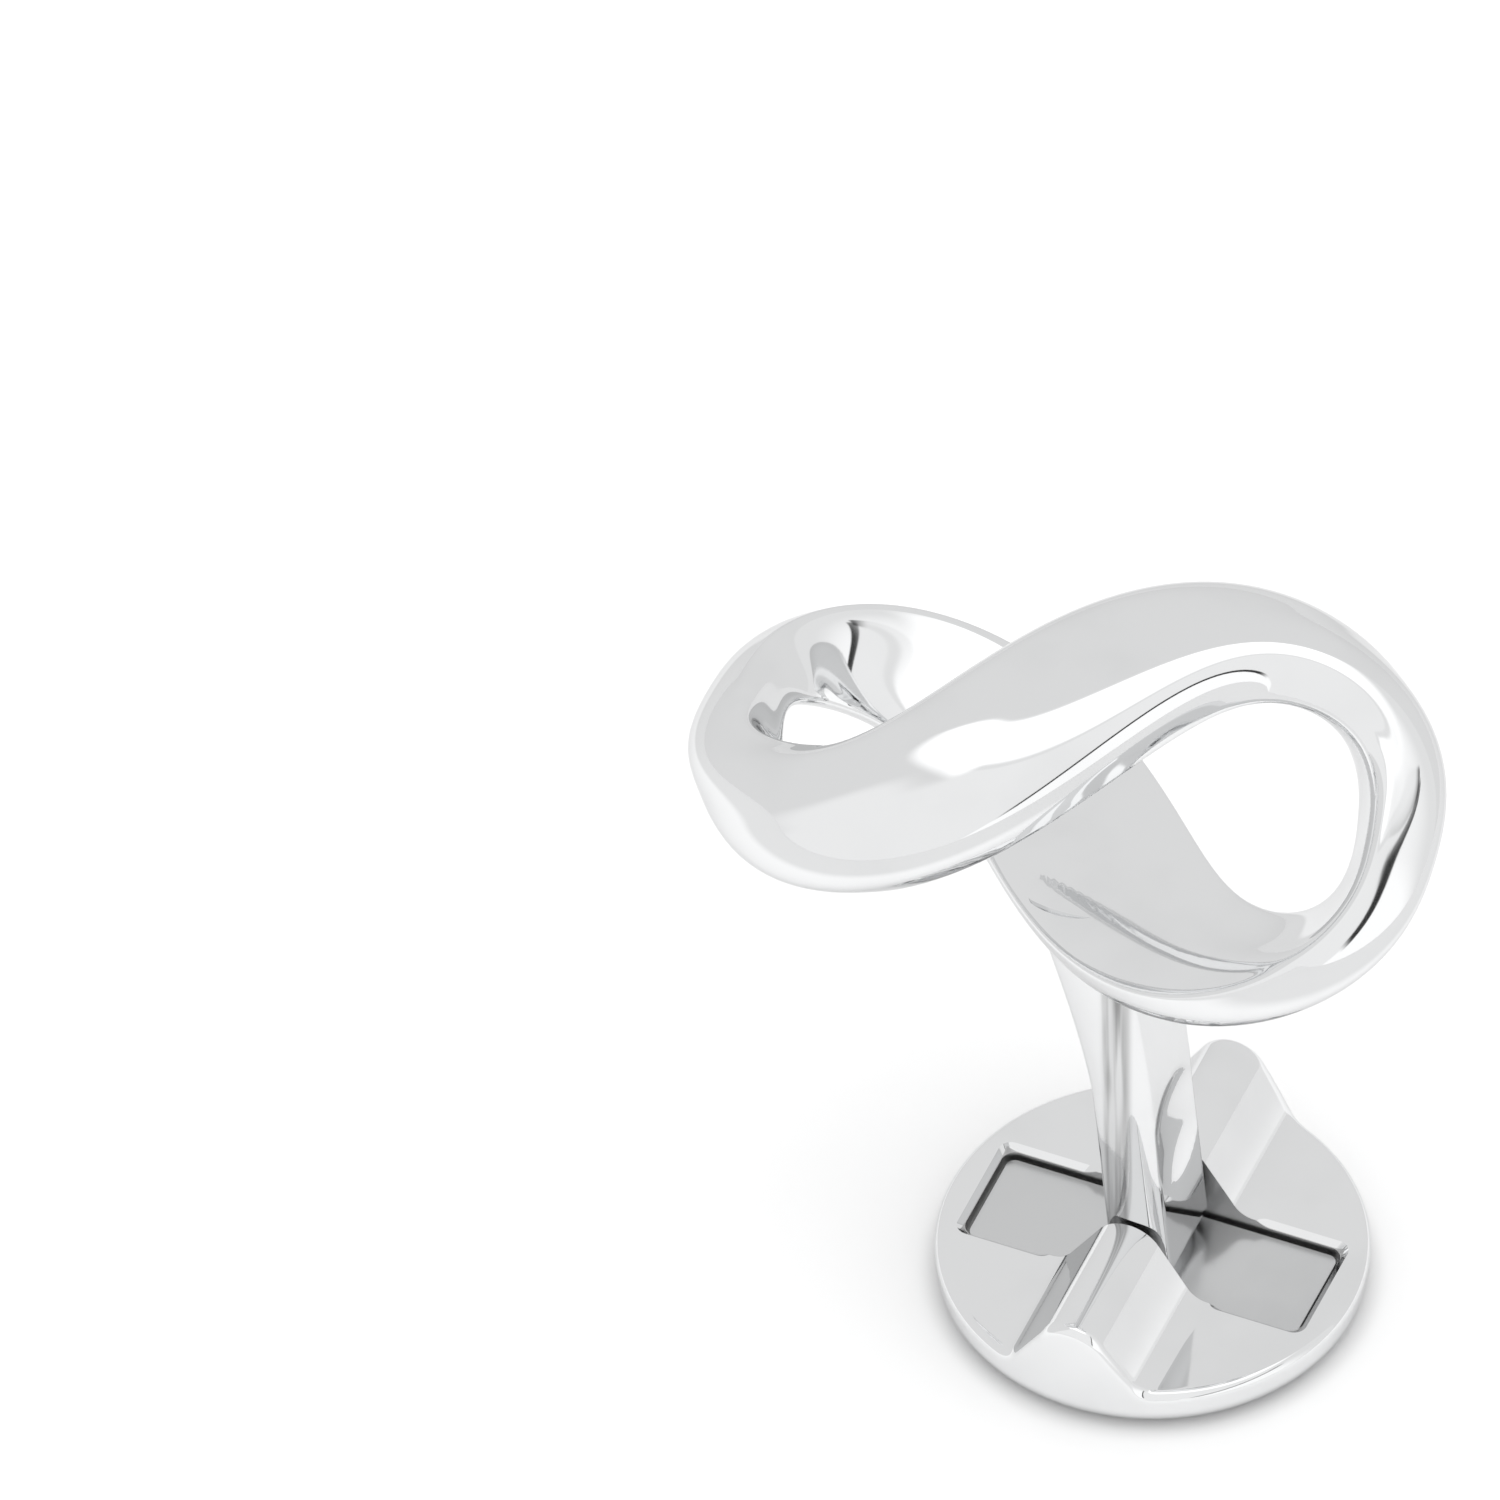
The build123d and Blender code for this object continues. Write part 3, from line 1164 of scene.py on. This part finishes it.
@dataclass
class Studio:
    """The pale floor, the soft tent round it and the lamp that lifts the floor.

    The tent has a pale front panel with three edges, a bright strip overhead and on the right, a darker
    back, and dark gaps along the panel's top and right edges.

    Attributes:
        view: The photograph's view.
        floor_radius, floor_sides: Radius of the floor, and the sides of its outline.
        floor_tint, floor_roughness: Its brightness and roughness.
        pool_middle, pool_fade: Middle of a painted pool of light on it, and its brightness by the way from
            there.
        contact_reach, contact_fade, contact_samples: How far from the metal a painted contact shadow reaches,
        and how dark it is.
        top_edge, right_edge, left_edge: Edges of the front panel.
        panel_level, strip_level: Brightness of the front panel and of the strip overhead.
        side_turn, side_fade: Degrees round to the far right side, and its brightness.
        back_level, back_drop, back_fade: Brightness of the back, its tilt in degrees and its start.
        overhead_fade, high_fade: Start of the tent overhead and of its strip, by height.
        right_fade: Start of the tent's right side.
        gap_level, gap_half_width: Brightness of the gaps, and half their width, as a cosine.
        gap_fade: Darkness of a gap by the square of the distance, in half widths.
        top_gap_fade, right_gap_fade: Darkness of the two gaps, from left to right.
        high_gap_fade: Darkness of the right gap, by height.
        lift, lamp_height: Strength of the floor's lamp, and its height and side.
    """

    view: PhotoView
    floor_radius: float = 0.4
    floor_sides: int = 96
    floor_tint: float = 0.97
    floor_roughness: float = 0.9
    pool_middle: tuple[float, float, float] = (-20.6 * MM, 16.2 * MM, 0.0)
    pool_fade: Fade = (43.0 * MM, 60.2 * MM, 1.0, 0.8)
    contact_reach: float = 0.9 * MM
    contact_fade: Fade = (0.35, 1.0, 0.8, 1.0)
    contact_samples: int = 16
    top_edge: PanelEdge = PanelEdge(-31.0, -56.0, 130.8, 0.01)
    right_edge: PanelEdge = PanelEdge(-85.5, 40.0, 93.7, 0.01)
    left_edge: PanelEdge = PanelEdge(45.0, -18.0, 114.5, 0.03)
    panel_level: float = 0.99
    strip_level: float = 1.4
    side_turn: float = 165.0
    side_fade: Fade = (-0.3, 0.12, 1.2, 0.89)
    back_level: float = 0.83
    back_drop: float = -13.0
    back_fade: Fade = (-0.015, 0.015, 0.0, 1.0)
    overhead_fade: Fade = (0.905, 0.935, 0.0, 1.0)
    right_fade: Fade = (-0.05, 0.05, 0.0, 1.0)
    high_fade: Fade = (0.84, 0.93, 0.0, 1.0)
    gap_level: float = 0.04
    gap_half_width: float = 0.03
    gap_fade: Fade = (0.6, 1.4, 1.0, 0.0)
    top_gap_fade: Fade = (0.6, 0.7, 0.1, 1.0)
    right_gap_fade: Fade = (0.24, 0.36, 0.0, 1.0)
    high_gap_fade: Fade = (0.64, 0.76, 1.0, 0.1)
    lift: float = 1.0
    lamp_height: float = 1.0

    def floor(self) -> None:
        """A pale floor with a painted contact shadow right beside the metal, and painted shade far out round
        a painted pool of light.
        """
        clear_selection()
        bpy.ops.mesh.primitive_circle_add(
            vertices=self.floor_sides, radius=self.floor_radius, fill_type="NGON"
        )
        floor = added("floor")
        made = bpy.data.materials.new("pale_floor")
        book = NodeBook(made)
        place = book.node("ShaderNodeTexCoord", {}, {}, "Object")
        settings = {"samples": self.contact_samples}
        # Painted shadow and painted pool of light: the floor's colour darkens next to the metal and far from
        # the pool's middle.
        openness = book.node("ShaderNodeAmbientOcclusion", settings, {"Distance": self.contact_reach}, "AO")
        settings = {"operation": "DISTANCE"}
        away = book.node("ShaderNodeVectorMath", settings, {0: place, 1: self.pool_middle}, "Value")
        shade = openness.ramp(*self.contact_fade) * away.ramp(*self.pool_fade) * self.floor_tint
        colour = book.node("ShaderNodeCombineColor", {}, {channel: shade for channel in range(3)})
        looks = {"Base Color": colour, "Roughness": self.floor_roughness}
        surface = book.node("ShaderNodeBsdfPrincipled", {}, looks)
        book.node("ShaderNodeOutputMaterial", {}, {"Surface": surface})
        floor.data.materials.append(made)

    def tent(self) -> None:
        """The soft surround that the metal mirrors."""
        world = bpy.data.worlds.new("studio_tent")
        bpy.context.scene.world = world
        book = NodeBook(world)
        ray = book.node("ShaderNodeTexCoord", {}, {}, "Generated")

        def facing(azimuth: float, elevation: float) -> Value:
            """How nearly a ray runs in a direction, in degrees round from the camera's side and up."""
            inputs = {0: ray, 1: tuple(direction(self.view.azimuth + azimuth, elevation))}
            return book.node("ShaderNodeVectorMath", {"operation": "DOT_PRODUCT"}, inputs, "Value")

        def past(edge: PanelEdge) -> Value:
            """How far a ray runs on the panel's side of an edge."""
            return facing(edge.azimuth, edge.elevation) - cos(radians(edge.spread))

        def inside(edge: PanelEdge) -> Value:
            """Nought off the panel's side of an edge and one on it."""
            return past(edge).ramp(-edge.blur, edge.blur, 0.0, 1.0)

        def near(edge: PanelEdge) -> Value:
            """One on an edge and nought off it."""
            share = past(edge) / self.gap_half_width
            return (share * share).ramp(*self.gap_fade)

        rightward = facing(90, 0)
        upward = facing(0, 90)
        top, right, left = (inside(edge) for edge in (self.top_edge, self.right_edge, self.left_edge))
        behind = facing(180, self.back_drop).ramp(*self.back_fade)
        overhead = upward.ramp(*self.overhead_fade)
        strip = overhead.mix(rightward.ramp(*self.right_fade), 1.0) * (1 - behind)
        side = facing(self.side_turn, 0).ramp(*self.side_fade)
        bright = upward.ramp(*self.high_fade).mix(side, self.strip_level)
        level = (top * right * left).mix(strip.mix(self.back_level, bright), self.panel_level)
        top_gap = near(self.top_edge) * right * left * rightward.ramp(*self.top_gap_fade)
        right_gap = near(self.right_edge) * top * left * rightward.ramp(*self.right_gap_fade)
        gap = top_gap.mix(right_gap * upward.ramp(*self.high_gap_fade), 1.0)
        level = gap.mix(level, self.gap_level)
        surface = book.node("ShaderNodeBackground", {}, {"Color": (1, 1, 1, 1), "Strength": level})
        book.node("ShaderNodeOutputWorld", {}, {"Surface": surface})

    def floor_lamp(self) -> None:
        """A wide soft lamp overhead that the metal doesn't mirror."""
        lamp = bpy.data.lights.new("floor_lamp", "AREA")
        lamp.size = self.lamp_height
        lamp.energy = self.lift * pi
        holder = bpy.data.objects.new("floor_lamp", lamp)
        bpy.context.scene.collection.objects.link(holder)
        holder.location = (0, 0, self.lamp_height)
        holder.visible_glossy = False

    def build(self) -> None:
        """Build the floor, the tent and the lamp."""
        self.floor()
        self.tent()
        self.floor_lamp()
        bpy.context.scene.view_settings.view_transform = "Standard"


def main() -> None:
    """Build the cufflink and its studio."""
    logging.basicConfig(level=logging.INFO, format="%(name)s %(message)s")
    FaceAssembly().build(POLISHED.material(), PAINTED_REFLECTION_STREAKS.material())
    ToggleDisc().build(SHADED_WINDOW.material(), SATIN_PLATE.material())
    pin = frame["nodes"][Node.PIN.value]
    pin.data.materials.clear()
    pin.data.materials.append(PLAIN_STEEL.material())
    view = PhotoView()
    view.build()
    Studio(view).build()


if __name__ == "__main__":
    main()
